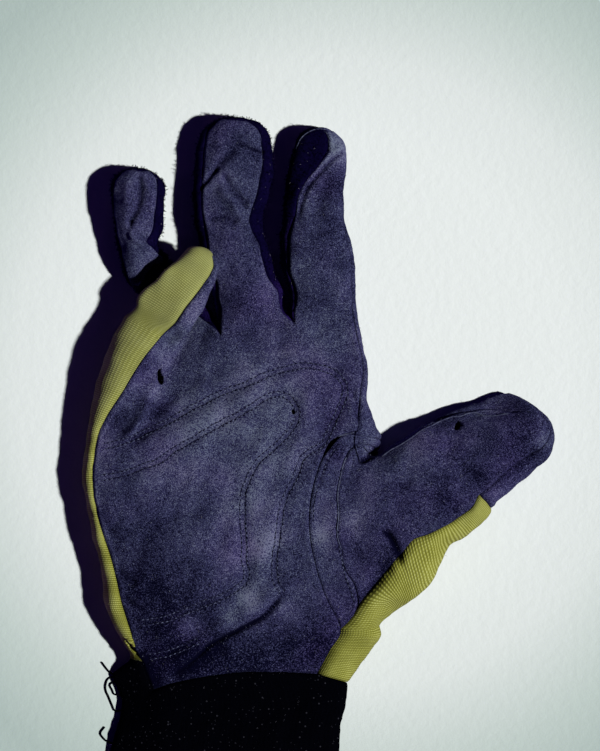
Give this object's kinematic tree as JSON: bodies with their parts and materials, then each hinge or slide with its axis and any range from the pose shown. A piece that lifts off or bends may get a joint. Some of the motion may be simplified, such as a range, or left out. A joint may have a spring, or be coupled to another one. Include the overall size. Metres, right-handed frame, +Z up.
{
  "type": "worn work glove",
  "caption": "Worn right-hand work glove lying palm up: slate suede palm and thumb, yellow-green knit back, black side strips and knit cuff.",
  "frame": {"origin": "centre of the glove's bounding box, on the surface it lies on", "axes": "+Z up from the surface with the palm side up, +Y from the cuff to the fingertips, +X to the thumb's side"},
  "size_m": [0.1778, 0.2574, 0.0235],
  "materials": {
    "suede": "napped, dusty, rubbed pale at the heel of the hand",
    "knit": "fine ribbed knit, matt",
    "gusset_cloth": "brushed knit, matt, with lint",
    "cuff_knit": "dense elastic knit, matt, with lint"
  },
  "bodies": {
    "root": {"palm_front": "suede", "back_panel": "knit", "gusset_little_ring": "gusset_cloth", "gusset_ring_middle": "gusset_cloth", "gusset_middle_index": "gusset_cloth", "index_side": "suede", "thumb_strip": "suede", "thumb_front": "suede", "thumb_back": "knit", "thumb_cap": "suede", "cuff": "cuff_knit"}
  },
  "joints": []
}
